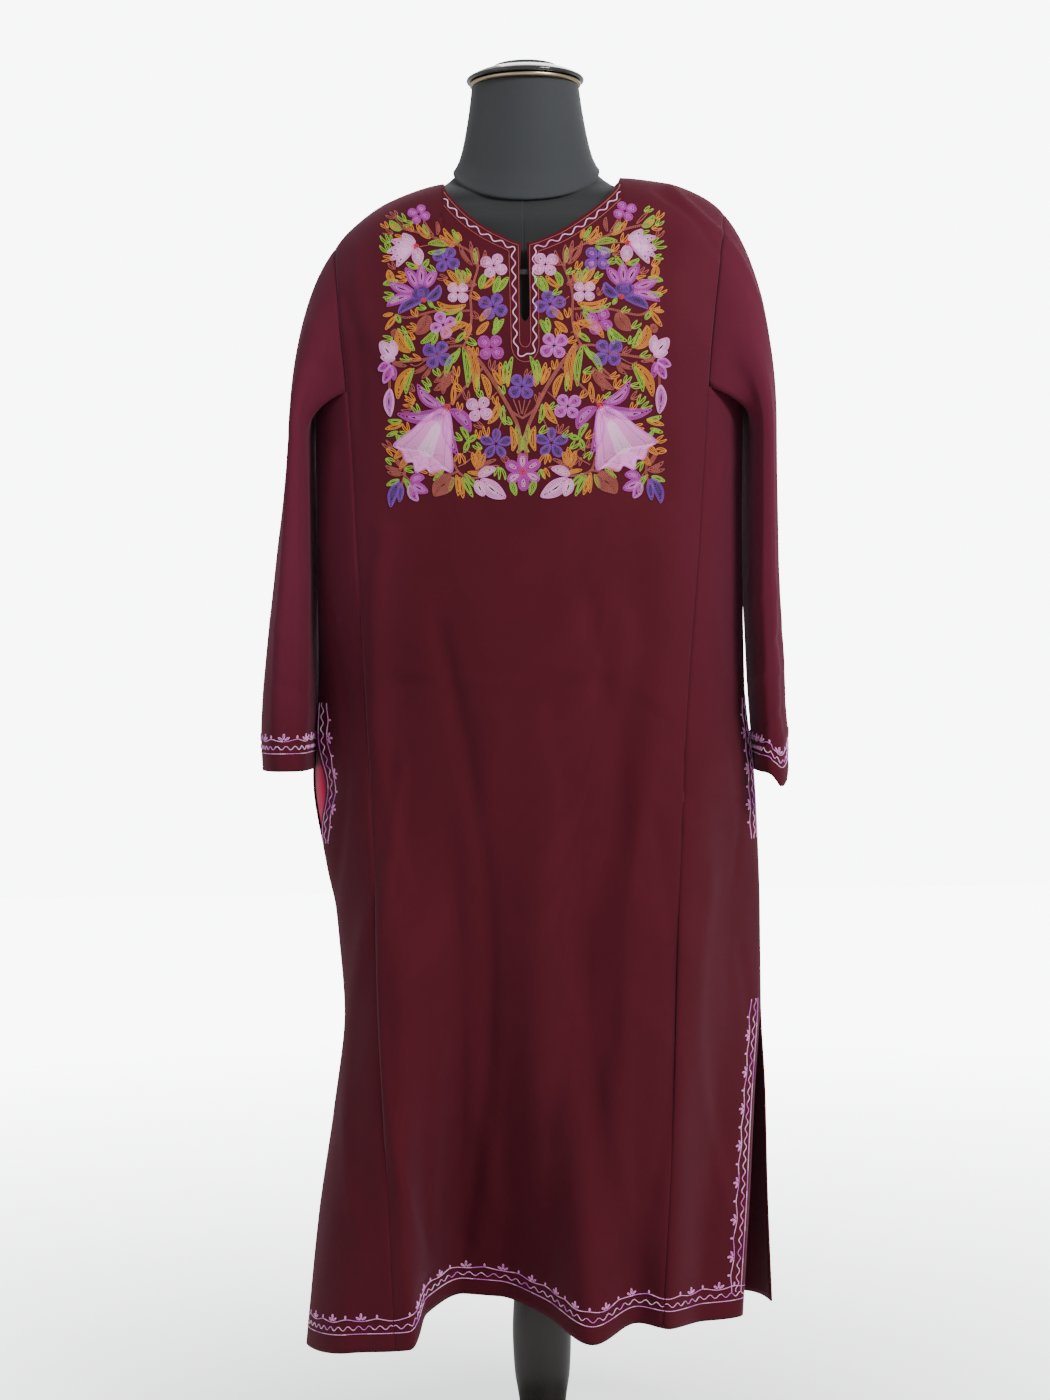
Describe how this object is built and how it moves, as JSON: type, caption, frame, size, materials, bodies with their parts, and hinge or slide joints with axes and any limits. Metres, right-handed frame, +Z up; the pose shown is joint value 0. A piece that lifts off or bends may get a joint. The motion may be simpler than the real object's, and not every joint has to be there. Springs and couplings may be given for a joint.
{
  "type": "pheran on dress form",
  "caption": "Long straight-cut Kashmiri tunic with side gores, straight sleeves, a slit round neck and side slits, hanging on a limbless dress form with a turned stand.",
  "frame": {"origin": "middle of the underside of the stand's base, on the column's axis", "axes": "+Z up along the column, -Y out of the front of the garment, +X to the viewer's right"},
  "size_m": [0.562, 0.344, 1.503],
  "materials": {
    "wool": "maroon wool twill, matt, chain-stitched in lilac, violet, pink, gold, green and rust",
    "pocket_lining": "plain red lining cloth",
    "form_cover": "close black cotton cover",
    "metal_trim": "black hook",
    "cap_metal": "dull polished ring",
    "cap_lacquer": "glossy black",
    "stand_wood": "dark stained and varnished"
  },
  "bodies": {
    "root": {"front_panel": "wool", "back_panel": "wool", "front_gore_left": "wool", "back_gore_left": "wool", "front_gore_right": "wool", "back_gore_right": "wool", "sleeve_left": "wool", "sleeve_right": "wool", "pocket_bag_left": "pocket_lining", "pocket_bag_right": "pocket_lining", "neck_hook": "metal_trim", "form_torso": "form_cover", "form_neck": "form_cover", "cap_ring": "cap_metal", "neck_cap": "cap_lacquer", "stand_column": "stand_wood", "stand_base": "stand_wood"}
  },
  "joints": []
}
